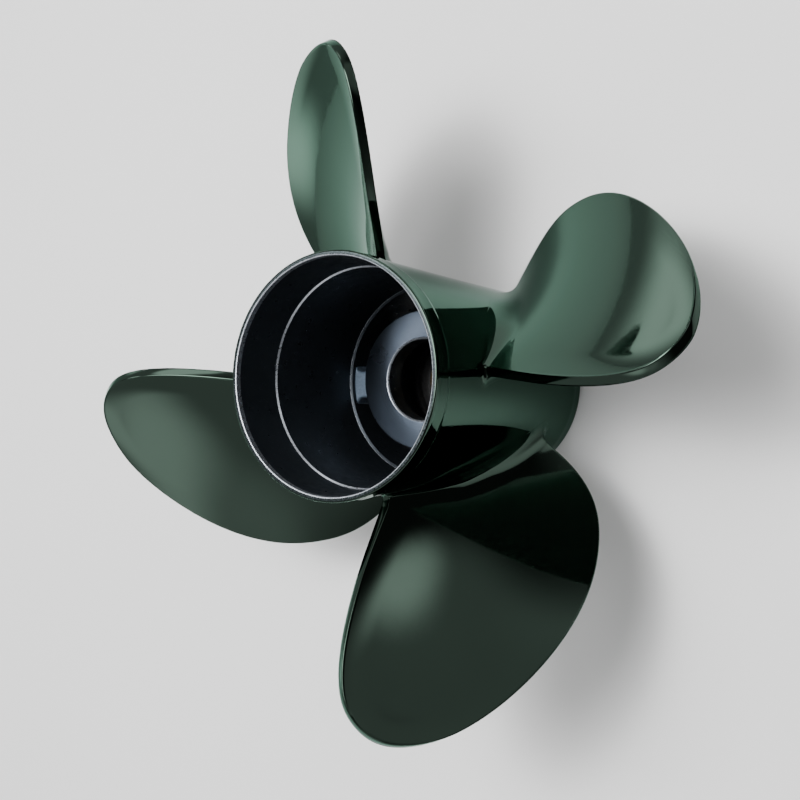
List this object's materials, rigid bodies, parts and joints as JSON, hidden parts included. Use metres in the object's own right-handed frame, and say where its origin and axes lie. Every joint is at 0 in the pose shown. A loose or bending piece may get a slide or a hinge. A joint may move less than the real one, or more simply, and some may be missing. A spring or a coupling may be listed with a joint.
{
  "type": "left-hand four-blade boat propeller",
  "caption": "Boat propeller with a hollow exhaust barrel, swept raked blades, a ribbed inner hub tube and a splined rubber-bushed hub.",
  "frame": {"origin": "on the shaft axis, in the plane of the barrel's forward end", "axes": "+Z runs along the shaft axis and points aft, towards the open end of the barrel. +X runs to the right and +Y up as the propeller is seen from aft in the picture, with blade 1 at the right."},
  "size_m": [0.331, 0.331, 0.161],
  "materials": {
    "gloss_paint": "gloss",
    "dark_casting": "satin",
    "bush_rubber": "matt",
    "sleeve_brass": "machined"
  },
  "bodies": {
    "root": {"barrel": "gloss_paint", "blade_1": "gloss_paint", "blade_2": "gloss_paint", "blade_3": "gloss_paint", "blade_4": "gloss_paint", "inner_hub": "dark_casting", "rib_1": "dark_casting", "rib_2": "dark_casting", "rib_3": "dark_casting", "rubber_bush": "bush_rubber", "splined_sleeve": "sleeve_brass"}
  },
  "joints": []
}
